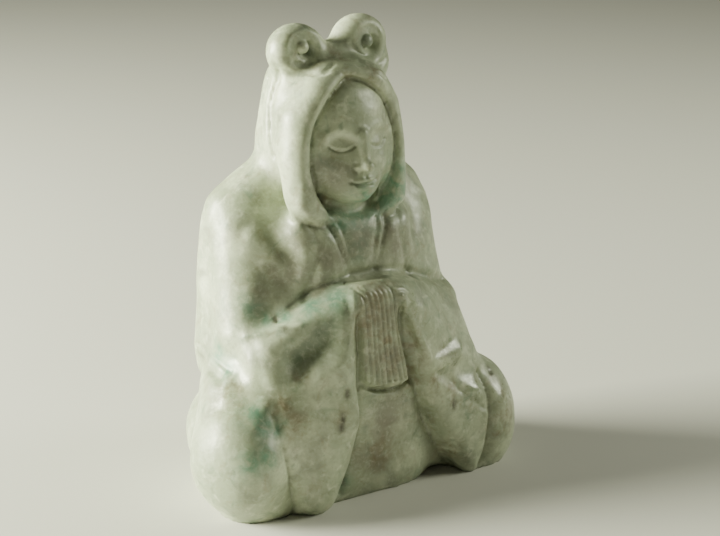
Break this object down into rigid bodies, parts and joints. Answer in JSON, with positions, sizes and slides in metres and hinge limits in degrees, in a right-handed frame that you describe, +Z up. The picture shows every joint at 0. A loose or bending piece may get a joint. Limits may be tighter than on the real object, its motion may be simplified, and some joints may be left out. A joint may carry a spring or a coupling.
{
  "type": "seated jade goddess statue",
  "caption": "Seated robed goddess carved in the round from polished mottled jade, with looped hair, joined sleeves and a hanging fluted cloth, resting on its own flat underside.",
  "frame": {"origin": "on the ground, on the flat underside, below the middle of the figure's width", "axes": "+Z up, the figure faces -Y, and its left hand is towards +X"},
  "size_m": [0.1178, 0.0683, 0.1492],
  "materials": {
    "polished_jade": null
  },
  "bodies": {
    "root": {"goddess_figure": "polished_jade"}
  },
  "joints": []
}
